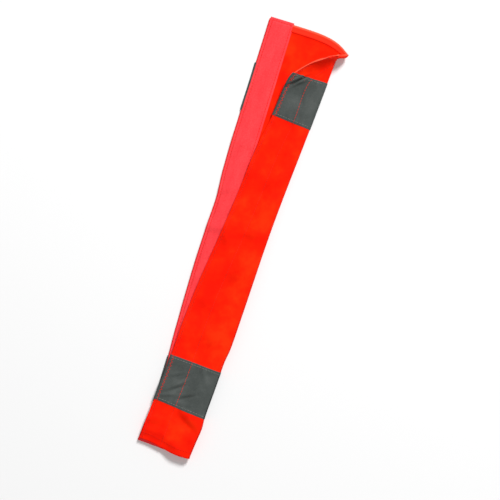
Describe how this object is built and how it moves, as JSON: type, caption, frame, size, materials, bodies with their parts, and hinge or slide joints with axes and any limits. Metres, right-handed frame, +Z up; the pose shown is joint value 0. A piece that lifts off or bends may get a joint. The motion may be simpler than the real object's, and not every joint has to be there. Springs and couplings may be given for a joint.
{
  "type": "high-visibility wrap sleeve",
  "caption": "Flat wrap-round high-visibility cloth sleeve, folded lengthwise, with a hook-and-loop closure along its edge and reflective bands near both ends.",
  "frame": {"origin": "middle of the part's box on the plane that the sleeve lies on", "axes": "+Y along the sleeve towards its open mouth, +Z up out of the plane it lies on, +X towards the crease"},
  "size_m": [0.0906, 0.4516, 0.0152],
  "materials": {
    "panel_cloth": "fluorescent red-orange knitted polyester, matt",
    "reflective_band": "dark grey retroreflective woven band, low sheen",
    "loop_tape": "napped loop pile, red-pink",
    "hook_tape": "moulded hooks on woven tape, red",
    "red_thread": "sewing thread, red",
    "grey_thread": "sewing thread, light grey"
  },
  "bodies": {
    "back": {"shell_back": "panel_cloth", "loop_tape": "loop_tape", "loop_tape_outer_seam": "red_thread", "loop_tape_inner_seam": "red_thread", "upper_band_back": "reflective_band", "lower_band_back": "reflective_band", "upper_band_mouth_side_seam_back": "grey_thread", "upper_band_tail_side_seam_back": "grey_thread", "lower_band_mouth_side_seam_back": "grey_thread", "lower_band_tail_side_seam_back": "grey_thread", "mouth_hem_seam_back": "red_thread", "tail_hem_seam_back": "red_thread", "shell_fold": "panel_cloth", "shell_mouth": "panel_cloth", "upper_band_fold": "reflective_band", "lower_band_fold": "reflective_band", "hook_tape_mouth": "hook_tape"},
    "flap": {"shell_flap": "panel_cloth", "hook_tape": "hook_tape", "hook_tape_edge_seam": "red_thread", "hook_tape_inner_seam": "red_thread", "upper_band_flap": "reflective_band", "lower_band_flap": "reflective_band", "upper_band_mouth_side_seam_flap": "grey_thread", "upper_band_tail_side_seam_flap": "grey_thread", "lower_band_mouth_side_seam_flap": "grey_thread", "lower_band_tail_side_seam_flap": "grey_thread", "tail_hem_seam_flap": "red_thread"}
  },
  "joints": [
    {"name": "flap_fold", "type": "hinge", "parent": "back", "child": "flap", "pos_m": [0.03085, 0.19426, 0.005], "axis": [0.057, 0.9984, 0], "range_deg": [0, 170], "deforming": ["shell_fold", "shell_mouth", "upper_band_fold", "lower_band_fold", "hook_tape_mouth"]}
  ]
}
